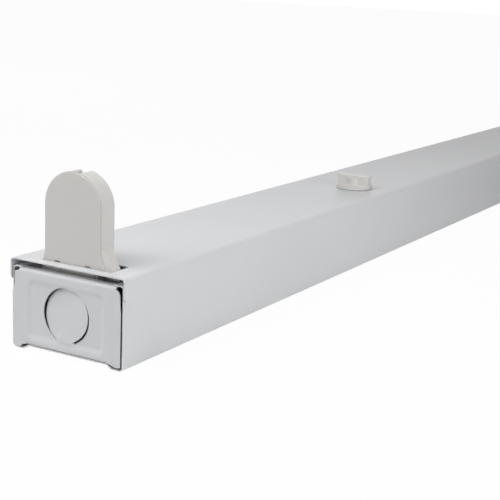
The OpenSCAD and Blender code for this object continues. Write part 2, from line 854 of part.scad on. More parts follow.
// Brass insert moulded into a knob
module knob_insert() {
    high = knob_low + insert_h;
    color(bronze) difference() {
        post(latch_inset, latch_y, knob_low, high, stud_r + insert_wall + insert_play - screw_fit);
        post(latch_inset, latch_y, knob_low - over, high + over, stud_r + insert_play);
    }
}
module knob_insert_left() { at_left() knob_insert(); }
module knob_insert_right() { at_right() knob_insert(); }

// Three-pole terminal block with two fixing ears
module terminal_block() {
    low = mid_floor;
    color("whitesmoke") translate([block_x, block_y, 0]) difference() {
        union() {
            block([-block_half, -block_depth / 2, low], [block_half, block_depth / 2, low + block_h]);
            block([-block_half - ear_len, -ear_w / 2, low], [block_half + ear_len, ear_w / 2, low + ear_h]);
        }
        for (x = pole_places) {
            block([x - clamp_w / 2 - clamp_fit, -block_depth / 2 - over, clamp_z - clamp_h / 2 - clamp_fit],
                  [x + clamp_w / 2 + clamp_fit, block_depth / 2 + over, clamp_z + clamp_h / 2 + clamp_fit]);
            for (s = [-1, 1])
                post(x, s * screw_share * block_depth, clamp_z, low + block_h + over, screw_hole_r);
        }
        for (s = [-1, 1])
            post(s * fixing_x, 0, low - over, low + ear_h + over, fixing_r + screw_fit);
    }
}

// Brass tubes that join the wires
module terminal_clamps() {
    color(bronze) translate([block_x, block_y, 0]) for (x = pole_places) difference() {
        block([x - clamp_w / 2, -clamp_len / 2, clamp_z - clamp_h / 2],
              [x + clamp_w / 2, clamp_len / 2, clamp_z + clamp_h / 2]);
        translate([x, clamp_len, clamp_z]) rotate([90, 0, 0]) cylinder(h = 2 * clamp_len, r = clamp_bore_r);
        for (s = [-1, 1])
            post(x, s * screw_share * block_depth, clamp_z, clamp_z + clamp_h, screw_r + screw_fit);
    }
}

// Slotted screw with its shank from z0 to z1 and a cheese head above
module slotted_screw(z0, z1, r, head_r, head_h) {
    difference() {
        union() {
            post(0, 0, z0, z1, r);
            post(0, 0, z1, z1 + head_h, head_r);
        }
        block([-head_r - over, -screw_slot_w / 2, z1 + head_h - screw_slot_depth],
              [head_r + over, screw_slot_w / 2, z1 + head_h + over]);
    }
}

module terminal_screws() {
    low = clamp_z + wire_r + screw_fit;
    color(zinc) translate([block_x, block_y, 0]) for (x = pole_places, s = [-1, 1])
        translate([x, s * screw_share * block_depth, 0])
            slotted_screw(low, clamp_z + clamp_h / 2 + seat_gap, screw_r, screw_head_r, screw_head_h);
}

module terminal_fixing_screws() {
    color(zinc) for (s = [-1, 1]) translate([block_x + s * fixing_x, block_y, 0])
        slotted_screw(fixing_tip_gap, mid_floor + ear_h, fixing_r, fixing_head_r, fixing_head_h);
}

// Earth stud through the back, with washer, ring and nut on it
module earth_stud() {
    color(bronze) {
        post(earth_x, earth_y, foot_rise - earth_head_h, foot_rise, earth_head_r);
        post(earth_x, earth_y, foot_rise, mid_floor + earth_rise, earth_r);
    }
}
module earth_washer() {
    color(zinc) difference() {
        post(earth_x, earth_y, mid_floor, mid_floor + washer_t, washer_r);
        post(earth_x, earth_y, mid_floor - over, mid_floor + washer_t + over, earth_r + earth_fit);
    }
}
module earth_ring() {
    low = mid_floor + washer_t;
    color(bronze) difference() {
        union() {
            post(earth_x, earth_y, low, low + ring_t, ring_r);
            block([earth_x - barrel_reach, earth_y - barrel_r, low], [earth_x, earth_y + barrel_r, low + ring_t]);
            bar_x(earth_x - barrel_reach - barrel_len, earth_x - barrel_reach + ring_t, earth_y,
                  low + barrel_r, barrel_r);
        }
        post(earth_x, earth_y, low - over, low + ring_t + over, ring_hole_r);
        bar_x(earth_x - barrel_reach - barrel_len - over, earth_x - barrel_reach - over, earth_y,
              low + barrel_r, wire_r + wire_gap);
    }
}
module earth_nut() {
    low = mid_floor + washer_t + ring_t;
    color(bronze) difference() {
        translate([earth_x, earth_y, low]) cylinder(h = nut_t, r = nut_flats / sqrt(3), $fn = 6);
        post(earth_x, earth_y, low - over, low + nut_t + over, earth_r + earth_fit);
    }
}

// Route rounded at every corner: a short curve of five points replaces the corner
function rounded(route) =
    let (n = len(route), shares = [0, 0.25, 0.5, 0.75, 1])
    concat([route[0]],
        [for (i = [1:n - 2])
            let (a = route[i - 1], b = route[i], c = route[i + 1],
                 cut = min(wire_bend, norm(b - a) / 2, norm(c - b) / 2),
                 p = b + unit(a - b) * cut, q = b + unit(c - b) * cut)
            each [for (t = shares) (1 - t) * (1 - t) * p + 2 * t * (1 - t) * b + t * t * q]],
        [route[n - 1]]);

// Points without neighbours that coincide
function distinct(p) = [for (i = [0:len(p) - 1]) if (i == 0 || norm(p[i] - p[max(0, i - 1)]) > wire_gap) p[i]];

// A wire: a tube of eight sides swept along its rounded route
module wire(route) {
    p = distinct(rounded(route));
    n = len(p);
    lean = [0.37, -0.61, 0.7];
    ring = function (i)
        let (along = unit(p[min(n - 1, i + 1)] - p[max(0, i - 1)]),
             side = unit(cross(along, lean)), up = cross(side, along))
        [for (k = [0:wire_sides - 1]) let (a = 360 * k / wire_sides)
            p[i] + wire_r * (cos(a) * side + sin(a) * up)];
    points = [for (i = [0:n - 1]) each ring(i)];
    m = wire_sides;
    faces = concat(
        [[for (k = [m - 1:-1:0]) k]],
        [for (i = [0:n - 2], k = [0:m - 1]) [i * m + k, i * m + (k + 1) % m, (i + 1) * m + k]],
        [for (i = [0:n - 2], k = [0:m - 1])
            [i * m + (k + 1) % m, (i + 1) * m + (k + 1) % m, (i + 1) * m + k]],
        [[for (k = [0:m - 1]) (n - 1) * m + k]]);
    polyhedron(points = points, faces = faces);
}

// Where a wire reaches the tab of a lampholder's contact, from below, at the left end
wire_tab_x = tab_x + contact_t / 2 + wire_r + wire_gap;
wire_tab_top = tab_low + tab_lap;
under_holder = holder_low - 3 * wire_d;
turn_in = bracket_x + bracket_foot + 2 * wire_bend;

// Route from the lane at the side of the channel up into the lampholder at the end of side s
function holder_route(s) =
    let (end = batten_len / 2, y = -s * holder_y)
    [[s * (end - turn_in - 2 * wire_bend), lane_y, lane_z],
     [s * (end - turn_in), lane_y, lane_z],
     [s * (end - turn_in + wire_bend), y, under_holder],
     [s * (end - wire_tab_x), y, under_holder],
     [s * (end - wire_tab_x), y, wire_tab_top]];

// Route from a pole of the block, at x, to the lane; s is the side it then turns to
function pole_route(x, s) = [
    [x, block_y, clamp_z],
    [x, block_y + block_depth / 2 + wire_bend, clamp_z],
    [x + s * wire_bend, lane_y, lane_z],
    [x + 3 * s * wire_bend, lane_y, lane_z]];

module line_wire() {
    color([0.45, 0.25, 0.15]) wire(concat(pole_route(block_x - pole_pitch, -1), holder_route(-1)));
}
module neutral_wire() {
    color([0.2, 0.35, 0.7]) wire(concat(pole_route(block_x, 1), holder_route(1)));
}
module earth_wire() {
    x = block_x + pole_pitch;
    low = mid_floor + washer_t + barrel_r;
    color([0.45, 0.65, 0.2]) wire([
        [x, block_y, clamp_z],
        [x, block_y + block_depth / 2 + wire_bend / 2, clamp_z],
        [x + wire_bend, earth_y, low],
        [earth_x - barrel_reach - over, earth_y, low]]);
}

// Nylon clips that hold the wires in the lane
module wire_clip(x) {
    out = wire_r + wire_gap + clip_wall;
    color("white") difference() {
        along_x(x - clip_len / 2, x + clip_len / 2) {
            translate([lane_y, lane_z]) circle(r = out);
            translate([lane_y - out, mid_floor]) square([2 * out, lane_z - mid_floor]);
            translate([lane_y - out - clip_tail, mid_floor]) square([clip_tail + out, clip_wall]);
        }
        bar_x(x - clip_len, x + clip_len, lane_y, lane_z, wire_r + wire_gap);
    }
}
module wire_clips() {
    reach = batten_len / 2 - turn_in - 2 * wire_bend;
    for (s = [-1, 1], i = [1:clip_count]) {
        start = block_x + 4 * s * wire_bend;
        wire_clip(start + (s * reach - start) * i / clip_count - s * clip_len);
    }
}

channel();
end_plate_left();
end_plate_right();
end_rivets();
latch_bracket_left();
latch_bracket_right();
latch_studs();
holder_bracket_left();
holder_bracket_right();
lampholder_body_left();
lampholder_body_right();
lampholder_back_left();
lampholder_back_right();
lamp_contact_left();
lamp_contact_right();
rotor_left();
rotor_right();
terminal_block();
terminal_clamps();
terminal_screws();
terminal_fixing_screws();
earth_stud();
earth_washer();
earth_ring();
earth_nut();
line_wire();
neutral_wire();
earth_wire();
wire_clips();
cover_panel();
cover_flange_near();
cover_flange_far();
knob_left();
knob_right();
knob_insert_left();
knob_insert_right();
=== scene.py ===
"""Looks of a one-lamp batten for a 1200 mm tube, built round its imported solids.

Lengths in this file are millimetres unless a name says otherwise, and each mesh is made in metres.
X runs along the batten, Z points away from its back, and the photographed end is the one at -X.
"""
import math

import bmesh
import bpy
import numpy as np
from mathutils import Matrix, Vector
from mathutils.geometry import delaunay_2d_cdt

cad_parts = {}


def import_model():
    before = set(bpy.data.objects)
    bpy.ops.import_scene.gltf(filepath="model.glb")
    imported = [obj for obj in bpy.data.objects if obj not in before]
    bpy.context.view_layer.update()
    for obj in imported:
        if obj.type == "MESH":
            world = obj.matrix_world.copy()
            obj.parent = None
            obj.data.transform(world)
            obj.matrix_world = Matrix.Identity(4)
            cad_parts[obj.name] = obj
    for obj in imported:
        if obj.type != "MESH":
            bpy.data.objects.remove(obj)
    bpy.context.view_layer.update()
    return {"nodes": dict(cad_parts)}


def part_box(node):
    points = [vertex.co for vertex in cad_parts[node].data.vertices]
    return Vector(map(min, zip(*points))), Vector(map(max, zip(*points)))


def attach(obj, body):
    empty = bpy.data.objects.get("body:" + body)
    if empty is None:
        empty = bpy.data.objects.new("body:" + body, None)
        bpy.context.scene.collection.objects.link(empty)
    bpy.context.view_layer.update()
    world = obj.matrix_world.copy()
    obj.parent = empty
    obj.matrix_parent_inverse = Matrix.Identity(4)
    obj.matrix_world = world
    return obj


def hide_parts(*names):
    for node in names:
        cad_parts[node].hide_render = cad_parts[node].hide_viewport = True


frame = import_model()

MM = 0.001
PHOTO_SIDE = 500


def box_mm(node):
    """Lowest and highest corner of a solid, in millimetres."""
    low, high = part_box(node)
    return np.array(low) / MM, np.array(high) / MM


# Sizes taken from the solids
_, cover_high = box_mm("cover_panel")
_, channel_high = box_mm("channel")
plate_low, plate_high = box_mm("end_plate_left")
HALF_LEN = cover_high[0]
COVER_TOP = cover_high[2]
CHANNEL_HALF = channel_high[1]
PLATE_FACE = plate_low[0] + HALF_LEN
LOWER_FLANGE = plate_high[0] + HALF_LEN

# Sizes of the sheet, the same as in the solids
SHEET = 0.5
BEND = 1.2
OUTER_BEND = BEND + SHEET / 2
FOOT_RISE = 1.4
FOOT_W = 5.3
SLOPE_W = 2.0
LIP_W = 4.5


# Materials
# Each finish keeps its roughness on one side of 0.27: a drift that crosses it shows as an edge.
# The drift's noise gives its colours and its gloss over these spans of its value.
COLOUR_SPAN = (0.25, 0.75)
GLOSS_SPAN = (0.3, 0.7)
STRIPE_FROM = 0.35


def linear(hex_colour):
    """Turns an sRGB colour like "D9DADC" into the linear RGBA that sockets take."""
    parts = [int(hex_colour[i:i + 2], 16) / 255 for i in (0, 2, 4)]
    return [p / 12.92 if p <= 0.04045 else ((p + 0.055) / 1.055) ** 2.4 for p in parts] + [1.0]


def add(tree, kind, inputs=None, **settings):
    """Adds a node with its settings, and sets or links its inputs."""
    node = tree.nodes.new(kind)
    for key, value in settings.items():
        setattr(node, key, value)
    for key, value in (inputs or {}).items():
        if isinstance(value, bpy.types.NodeSocket):
            tree.links.new(value, node.inputs[key])
        else:
            node.inputs[key].default_value = value
    return node


def empty_tree(owner):
    """The node tree of a material or a world, with nothing in it."""
    owner.use_nodes = True
    owner.node_tree.nodes.clear()
    return owner.node_tree


def surface(name, colours, roughness, mottle, grain, depth, stretch=(1, 1, 1), **sockets):
    """A finish whose colour and gloss drift slowly and whose skin has a fine grain.

    colours are the two ends of the drift and mottle its size; grain and depth are the size and
    height of the skin's grain, in millimetres; roughness is its least and greatest value.
    """
    material = bpy.data.materials.new(name)
    tree = empty_tree(material)
    shader = add(tree, "ShaderNodeBsdfPrincipled")
    add(tree, "ShaderNodeOutputMaterial", {"Surface": shader.outputs["BSDF"]})
    for key, value in sockets.items():
        shader.inputs[key].default_value = value
    place = add(tree, "ShaderNodeTexCoord").outputs["Object"]
    drawn = add(tree, "ShaderNodeMapping", {"Vector": place, "Scale": stretch})
    drift = add(tree, "ShaderNodeTexNoise",
                {"Vector": drawn.outputs[0], "Scale": 1 / (mottle * MM), "Detail": 3.0})
    ramp = add(tree, "ShaderNodeValToRGB", {"Fac": drift.outputs["Fac"]})
    ramp.color_ramp.interpolation = "EASE"
    for stop, colour, at in zip(ramp.color_ramp.elements, colours, COLOUR_SPAN):
        stop.color = linear(colour)
        stop.position = at
    gloss = add(tree, "ShaderNodeMapRange",
                {"Value": drift.outputs["Fac"], "From Min": GLOSS_SPAN[0],
                 "From Max": GLOSS_SPAN[1], "To Min": roughness[0], "To Max": roughness[1]})
    skin = add(tree, "ShaderNodeTexNoise",
               {"Vector": drawn.outputs[0], "Scale": 1 / (grain * MM), "Detail": 2.0})
    bump = add(tree, "ShaderNodeBump",
               {"Height": skin.outputs["Fac"], "Distance": depth * MM, "Strength": 1.0})
    for socket, source in (("Base Color", ramp.outputs["Color"]),
                           ("Roughness", gloss.outputs["Result"]),
                           ("Normal", bump.outputs["Normal"])):
        tree.links.new(source, shader.inputs[socket])
    return material


def baked_enamel():
    """White polyester enamel sprayed on sheet steel: satin, with a faint orange peel."""
    return surface("baked_white_enamel", ("DEDFE1", "E2E3E5"), (0.34, 0.40), mottle=60,
                   grain=1.6, depth=0.012, IOR=1.5)


def moulded_polycarbonate():
    """Injection moulded off-white polycarbonate: warmer than the enamel and glossier."""
    return surface("moulded_polycarbonate", ("DAD8D5", "DBD9D6"), (0.245, 0.265), mottle=60,
                   grain=0.9, depth=0.003, IOR=1.58)


def moulded_rotor():
    """Moulded heat-proof polyester of the rotor: a little whiter and duller than its holder."""
    return surface("moulded_polyester", ("D9D8D3", "DFDEDA"), (0.32, 0.40), mottle=8,
                   grain=0.7, depth=0.006, IOR=1.55)


def zinc_plate():
    """Bright zinc on cold-rolled steel: bluish metal with faint rolling marks along X."""
    return surface("bright_zinc_plate", ("B9BCC1", "C9CBCF"), (0.28, 0.42), mottle=9,
                   grain=0.5, depth=0.006, stretch=(0.12, 1, 1), Metallic=1.0)


def phosphor_bronze():
    """Rolled phosphor bronze strip: reddish gold metal, drawn along its height."""
    return surface("rolled_phosphor_bronze", ("B98A58", "C99C68"), (0.28, 0.38), mottle=5,
                   grain=0.4, depth=0.004, stretch=(1, 1, 0.15), Metallic=1.0)


def turned_brass():
    """Turned brass: yellow metal with fine tool rings round its upright axis."""
    return surface("turned_brass", ("B8954F", "CBAA62"), (0.28, 0.36), mottle=5,
                   grain=0.35, depth=0.004, stretch=(0.3, 0.3, 2), Metallic=1.0)


def moulded_polyamide():
    """Moulded white polyamide of the terminal block: matt and slightly cream."""
    return surface("moulded_polyamide", ("E4E1D8", "EAE8E0"), (0.50, 0.60), mottle=10,
                   grain=0.6, depth=0.010, IOR=1.53)


def natural_nylon():
    """Unfilled nylon of the wire clips: matt, milky white."""
    return surface("natural_nylon", ("DEDDD6", "E6E5DF"), (0.42, 0.52), mottle=6,
                   grain=0.6, depth=0.006, IOR=1.53)


def wire_insulation(name, colour, lighter):
    """Extruded vinyl insulation: evenly coloured, satin, with a faint grain."""
    return surface(name, (colour, lighter), (0.36, 0.44), mottle=12, grain=0.8, depth=0.004,
                   IOR=1.54)


def striped_insulation():
    """Extruded green vinyl with two yellow stripes along it.

    The stripes lie where the attribute that runs round the wire is above one value.
    """
    material = wire_insulation("green_and_yellow_vinyl_insulation", "4F8A35", "55913A")
    tree = material.node_tree
    shader = next(node for node in tree.nodes if node.type == "BSDF_PRINCIPLED")
    green = shader.inputs["Base Color"].links[0].from_socket
    round_it = add(tree, "ShaderNodeAttribute", attribute_name="stripe")
    share = add(tree, "ShaderNodeMath", {0: round_it.outputs["Fac"], 1: STRIPE_FROM},
                operation="GREATER_THAN")
    mixed = add(tree, "ShaderNodeMix", {0: share.outputs[0], 6: green, 7: linear("E3C52E")},
                data_type="RGBA")
    tree.links.new(mixed.outputs[2], shader.inputs["Base Color"])
    return material


ENAMEL = baked_enamel()
POLYCARBONATE = moulded_polycarbonate()
ROTOR = moulded_rotor()
ZINC = zinc_plate()
BRONZE = phosphor_bronze()
BRASS = turned_brass()
POLYAMIDE = moulded_polyamide()
NYLON = natural_nylon()
BROWN = wire_insulation("brown_vinyl_insulation", "5E3A22", "6A4329")
BLUE = wire_insulation("blue_vinyl_insulation", "2B5AA0", "3563AB")
STRIPED = striped_insulation()


# Making pieces
MERGE_METRES = 1e-6
FLAT_ANGLE = math.radians(1)
SHARP_DEGREES = 30
EDGE_STEPS = 3
FACE_WEIGHT = 100


def finish_piece(piece, material, body, nodes, sharp=SHARP_DEGREES):
    """Gives a piece its material, its shading and its body, and hides the solids that it stands
    for.
    """
    piece.data.materials.clear()
    piece.data.materials.append(material)
    piece.data.shade_smooth()
    piece.data.set_sharp_from_angle(angle=math.radians(sharp))
    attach(piece, body)
    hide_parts(*nodes)


def linked(name, mesh):
    """A new object of the scene that shows a mesh, at the origin."""
    piece = bpy.data.objects.new(name, mesh)
    bpy.context.scene.collection.objects.link(piece)
    return piece


def new_piece(name, points, faces):
    """An object of points in millimetres, at the origin."""
    mesh = bpy.data.meshes.new(name)
    mesh.from_pydata((np.asarray(points, float) * MM).tolist(), [], faces)
    mesh.update()
    return linked(name, mesh)


def rounded_edges(piece, name, radius, steps, degrees):
    """A modifier that rounds each edge sharper than an angle to a radius."""
    bevel = piece.modifiers.new(name, "BEVEL")
    bevel.width = radius * MM
    bevel.segments = steps
    bevel.limit_method = "ANGLE"
    bevel.angle_limit = math.radians(degrees)
    return bevel


def rounded_copy(name, nodes, radius, material, body, seam=None):
    """A copy of solids as whole faces, with each sharp edge rounded to the radius.

    seam is the height of a flat joint inside one sheet that is kept as several solids.
    """
    shape = bmesh.new()
    for node in nodes:
        shape.from_mesh(frame["nodes"][node].data)
    bmesh.ops.remove_doubles(shape, verts=shape.verts, dist=MERGE_METRES)
    if seam is not None:
        inner = [face for face in shape.faces
                 if all(abs(v.co.z / MM - seam) < SHEET / 10 for v in face.verts)]
        bmesh.ops.delete(shape, geom=inner, context="FACES_ONLY")
    bmesh.ops.dissolve_limit(shape, angle_limit=FLAT_ANGLE, verts=shape.verts, edges=shape.edges)
    mesh = bpy.data.meshes.new(name)
    shape.to_mesh(mesh)
    shape.free()
    # The solid's own normals would shade the new edges wrongly
    if "custom_normal" in mesh.attributes:
        mesh.attributes.remove(mesh.attributes["custom_normal"])
    piece = linked(name, mesh)
    bevel = rounded_edges(piece, "edges", radius, EDGE_STEPS, SHARP_DEGREES)
    bevel.harden_normals = True
    weights = piece.modifiers.new("weights", "WEIGHTED_NORMAL")
    weights.keep_sharp = True
    weights.weight = FACE_WEIGHT
    finish_piece(piece, material, body, nodes)


# Cover, channel, lampholders, knobs and rotors, with the radii of their edges
SHEET_EDGE = 0.12
HOLDER_EDGE = 0.17
HOLDER_BACK_EDGE = 0.22
KNOB_EDGE = 0.7
ROTOR_EDGE = 0.25

rounded_copy("cover_sheet", ["cover_panel", "cover_flange_near", "cover_flange_far"], SHEET_EDGE,
             ENAMEL, "cover", seam=COVER_TOP - SHEET / 2 - BEND)
rounded_copy("channel_sheet", ["channel"], SHEET_EDGE, ENAMEL, "channel")

for side, knob_body, rotor_body in (("left", "knob_a", "rotor_a"), ("right", "knob_b", "rotor_b")):
    rounded_copy(f"lampholder_moulding_{side}", [f"lampholder_body_{side}"], HOLDER_EDGE,
                 POLYCARBONATE, "channel")
    rounded_copy(f"lampholder_plate_{side}", [f"lampholder_back_{side}"], HOLDER_BACK_EDGE,
                 POLYCARBONATE, "channel")
    rounded_copy(f"latch_knob_{side}", [f"knob_{side}"], KNOB_EDGE,
                 POLYCARBONATE, knob_body)
    rounded_copy(f"lamp_rotor_{side}", [f"rotor_{side}"], ROTOR_EDGE,
                 ROTOR, rotor_body)


# End plates, drawn as flat blanks in Y and Z, pressed and folded
FIT_Y = 0.5
PLATE_TOP = plate_high[2] - BEND
PLATE_FLOOR = FOOT_RISE + SHEET
BEND_HIGH = PLATE_TOP - SHEET / 2
BEND_LOW = PLATE_FLOOR + OUTER_BEND
QUARTER = OUTER_BEND * math.pi / 2
TOP_FLANGE = 4.35
SLOPE_GAP = 0.4
LOWER_HALF = CHANNEL_HALF - FOOT_W - SLOPE_W - SLOPE_GAP
RELIEF_W = 0.25

# The blank's corners, its shoulders and its two feet
PLATE_CORNER = 1.2
NEAR_CORNER = 2.6
SHOULDER_Z = 22.5
SHOULDER_RISE = 3.6
SHOULDER_POINTS = 11
FAR_IN, FAR_STEP, FAR_SOLE = 0.2, 1.1, 0.4
NEAR_IN, NEAR_STEP, NEAR_SOLE = 1.05, 0.3, 1.3
SOLE_END = FOOT_W / 3
FAR_FOOT_R = FOOT_W / 3
NEAR_FOOT_R = 0.5

# The recess, and the knockout disc in it
RECESS_HALF, RECESS_LOW, RECESS_HIGH = 18.9, 4.3, 29.2
RECESS_R, RECESS_SLOPE, RECESS_DEPTH = 3.4, 2.4, 0.75
DISC_Z, DISC_R = 16.9, 11.1
DISC_TILT = 4.0
DISC_SINK = 0.35
DISC_DOME = 0.35
RIM_W = 0.12
TIE_W = 3.0
# Width of the slit at each eighth of a turn round the disc, from the far side over the top
SLIT_WIDTHS = (0.45, 0.45, 0.35, 0.15, 0.45, 0.75, 0.6, 0.28, 0.45)
SLIT_STEPS = 60

# The tongue under the disc
TONGUE_W = 8.6
TONGUE_TOP, TONGUE_FOOT, TONGUE_SLIT = 11.9, 4.6, 7.6
TONGUE_TIP = 2.3
TONGUE_EDGE = 1.2
TONGUE_SHIFT = 0.25
TONGUE_FADE = 2.0
TONGUE_RISE = 0.84
TONGUE_START = 0.45

# Rivet holes, and the blank's mesh
RIVET_X, RIVET_Y, RIVET_R = 26.35, 10.0, 1.65
RIVET_SIDES = 30
MESH_STEP = 0.5
PLATE_EDGE = 0.1
PLATE_EDGE_STEPS = 2
PLATE_SHARP = 50


def arc(centre, radius, start, end, steps=10):
    """Points of an arc round a centre, from one angle in degrees to another."""
    turn = np.radians(np.linspace(start, end, steps + 1))
    return np.array(centre) + radius * np.stack((np.cos(turn), np.sin(turn)), 1)


def dense(loop, step):
    """A closed loop with points added so that none of its sides is longer than the step."""
    ends = np.roll(loop, -1, 0)
    parts = []
    for a, b in zip(loop, ends):
        count = max(1, math.ceil(np.linalg.norm(b - a) / step))
        parts.append(a + (b - a) * np.arange(count)[:, None] / count)
    return np.concatenate(parts)


def inside(points, loop):
    """Whether each point lies in the loop.

    Where it does, a ray from it towards greater Y crosses the loop an odd number of times.
    """
    a, b = loop, np.roll(loop, -1, 0)
    y, z = points[:, 0, None], points[:, 1, None]
    spans = (a[:, 1] > z) != (b[:, 1] > z)
    rise = np.where(b[:, 1] == a[:, 1], 1, b[:, 1] - a[:, 1])
    cross = a[:, 0] + (z - a[:, 1]) * (b[:, 0] - a[:, 0]) / rise
    return (spans & (y < cross)).sum(1) % 2 == 1


def smooth(t):
    """An S-shaped step from 0 to 1: three times t squared less twice t cubed."""
    t = np.clip(t, 0, 1)
    return t * t * (3 - 2 * t)


def half_blank(corner, foot, inset, step, sole):
    """Half of the blank's outline, from the middle of its top flange to that of its lower one.

    corner and foot are the radii of its upper and lower corners, inset is its lower edge's distance
    inside the channel's outline, step the shoulder above that, and sole its foot's height. The
    shoulder is half a wave of the cosine.
    """
    low = CHANNEL_HALF - inset
    high = low - step
    inner = CHANNEL_HALF - FOOT_W
    flange = CHANNEL_HALF - LIP_W + PLATE_CORNER
    top_end = BEND_HIGH + QUARTER + TOP_FLANGE - PLATE_FACE - OUTER_BEND
    low_end = BEND_LOW - QUARTER - (LOWER_FLANGE - PLATE_FACE - OUTER_BEND)
    t = np.linspace(0, 1, SHOULDER_POINTS)
    shoulder = np.stack((high + step * (1 - np.cos(math.pi * t)) / 2,
                         SHOULDER_Z + SHOULDER_RISE * (1 - t)), 1)
    return np.concatenate((
        [[0, top_end]],
        arc((flange - PLATE_CORNER, top_end - PLATE_CORNER), PLATE_CORNER, 90, 0),
        [[flange, PLATE_TOP]],
        arc((high - corner, PLATE_TOP - corner), corner, 90, 0),
        shoulder,
        arc((low - foot, sole + foot), foot, 0, -90),
        [[inner + SOLE_END, sole], [inner, PLATE_FLOOR], [inner - SLOPE_W, PLATE_FLOOR + SHEET],
         [LOWER_HALF + RELIEF_W, PLATE_FLOOR + SHEET], [LOWER_HALF + RELIEF_W, BEND_LOW],
         [LOWER_HALF, BEND_LOW], [LOWER_HALF, low_end], [0, low_end]]))


def slit(start, end):
    """Loop of one sheared slit round the knockout, between two angles in degrees."""
    centre = (FIT_Y, DISC_Z)
    turn = np.linspace(end, start, SLIT_STEPS + 1)
    width = np.interp(turn % 360, np.arange(len(SLIT_WIDTHS)) * 45, SLIT_WIDTHS)
    way = np.stack((np.cos(np.radians(turn)), np.sin(np.radians(turn))), 1)
    inner = (DISC_R - width)[:, None] * way
    return np.concatenate((arc(centre, DISC_R, start, end, SLIT_STEPS), inner + centre))


def recess_distance(y, z):
    """Distance outside the recess's rounded rectangle, negative inside it."""
    beside = np.abs(y - FIT_Y) - (RECESS_HALF - RECESS_R)
    over = np.abs(z - (RECESS_LOW + RECESS_HIGH) / 2) - ((RECESS_HIGH - RECESS_LOW) / 2 - RECESS_R)
    corner = np.hypot(np.maximum(beside, 0), np.maximum(over, 0))
    return corner + np.minimum(np.maximum(beside, over), 0) - RECESS_R


def pressed(y, z):
    """How far the plate's face stands out, in millimetres.

    An S-shaped step lowers the recess. Inside the slit the disc is sunk and tilted, its lower part
    on the near side out, and its rim turned in as the fourth power of the radius. The tongue is a
    soft rise whose sides slope towards a round tip on the disc, and it stands higher at its foot.
    """
    out = -RECESS_DEPTH * smooth(-recess_distance(y, z) / RECESS_SLOPE)
    dy, dz = y - FIT_Y, z - DISC_Z
    radius = np.hypot(dy, dz)
    tilt = math.tan(math.radians(DISC_TILT)) * (-dy - dz) / math.sqrt(2)
    upper = smooth((dy + dz) / DISC_R + 0.5)
    sunk = DISC_SINK * upper + DISC_DOME * (radius / DISC_R) ** 4 * upper
    out = out + (tilt - sunk) * smooth((DISC_R - radius) / RIM_W)
    tip = TONGUE_TOP - TONGUE_TIP
    spread = np.clip((tip - z) / (tip - TONGUE_SLIT), 0, 1)
    half = TONGUE_TIP + (TONGUE_W / 2 - TONGUE_TIP) * spread
    edge = half - np.hypot(dy, np.maximum(z - tip, 0))
    rise = smooth(edge / TONGUE_EDGE + TONGUE_SHIFT) * smooth((z - TONGUE_FOOT) / TONGUE_FADE)
    down = smooth((TONGUE_TOP - z) / (TONGUE_TOP - TONGUE_FOOT))
    ramp = TONGUE_START + (1 - TONGUE_START) * down
    return out * (1 - rise) + (-RECESS_DEPTH + TONGUE_RISE * ramp) * rise


def folded(y, s):
    """Places of a blank's points once its two flanges are bent: s is the height along the face.

    Past each bend line the outer face follows a quarter circle, and then runs level inwards.
    """
    x = np.full_like(s, PLATE_FACE)
    z = s.copy()
    on_lower = (s < BEND_LOW) & (np.abs(y) < LOWER_HALF + RELIEF_W / 2)
    tabs = ((s > BEND_HIGH, s - BEND_HIGH, BEND_HIGH, 1), (on_lower, BEND_LOW - s, BEND_LOW, -1))
    for where, run, base, way in tabs:
        turn = np.clip(run / OUTER_BEND, 0, math.pi / 2)
        level = np.maximum(run - QUARTER, 0)
        x = np.where(where, PLATE_FACE + OUTER_BEND * (1 - np.cos(turn)) + level, x)
        z = np.where(where, base + way * OUTER_BEND * np.sin(turn), z)
    return x - pressed(y, s) * (s < BEND_HIGH) * (s > BEND_LOW), z


def blank_loops():
    """The blank's outline, and its holes: two slits round the disc and two rivet holes."""
    near = half_blank(NEAR_CORNER, NEAR_FOOT_R, NEAR_IN, NEAR_STEP, NEAR_SOLE) * (-1, 1)
    far = half_blank(PLATE_CORNER, FAR_FOOT_R, FAR_IN, FAR_STEP, FAR_SOLE)
    outline = dense(np.concatenate((far, near[::-1]))[:-1], MESH_STEP)
    tie = math.degrees(math.asin(TIE_W / 2 / DISC_R))
    tongue = math.degrees(math.asin(TONGUE_W / 2 / DISC_R))
    rivet_s = BEND_LOW - QUARTER - (RIVET_X - PLATE_FACE - OUTER_BEND)
    last = 360 - 360 / RIVET_SIDES
    holes = [slit(90 - tie, -90 + tongue), slit(90 + tie, 270 - tongue)]
    holes += [arc((way * RIVET_Y, rivet_s), RIVET_R, 0, last, RIVET_SIDES - 1) for way in (-1, 1)]
    return outline, holes


def filled(outline, holes):
    """Points and triangles of the area in the outline and outside the holes, on an even grid."""
    loops = [outline] + holes
    wide = np.arange(-CHANNEL_HALF, CHANNEL_HALF, MESH_STEP)
    tall = np.arange(PLATE_FLOOR - QUARTER, PLATE_TOP + QUARTER, MESH_STEP)
    grid = np.stack(np.meshgrid(wide, tall), -1).reshape(-1, 2)
    rims = np.concatenate(loops)
    clear = np.array([np.hypot(*(rims - g).T).min() > MESH_STEP / 3 for g in grid])
    points = np.concatenate((rims, grid[clear & inside(grid, outline)]))
    edges = []
    start = 0
    for loop in loops:
        count = len(loop)
        edges += [(start + i, start + (i + 1) % count) for i in range(count)]
        start += count
    flat, _, cells, *_ = delaunay_2d_cdt([Vector(p) for p in points], edges, [], 0, MERGE_METRES)
    flat = np.array([tuple(p) for p in flat])
    cells = np.array(cells)
    middle = flat[cells].mean(1)
    kept = inside(middle, outline)
    for hole in holes:
        kept &= ~inside(middle, hole)
    return flat, cells[kept]


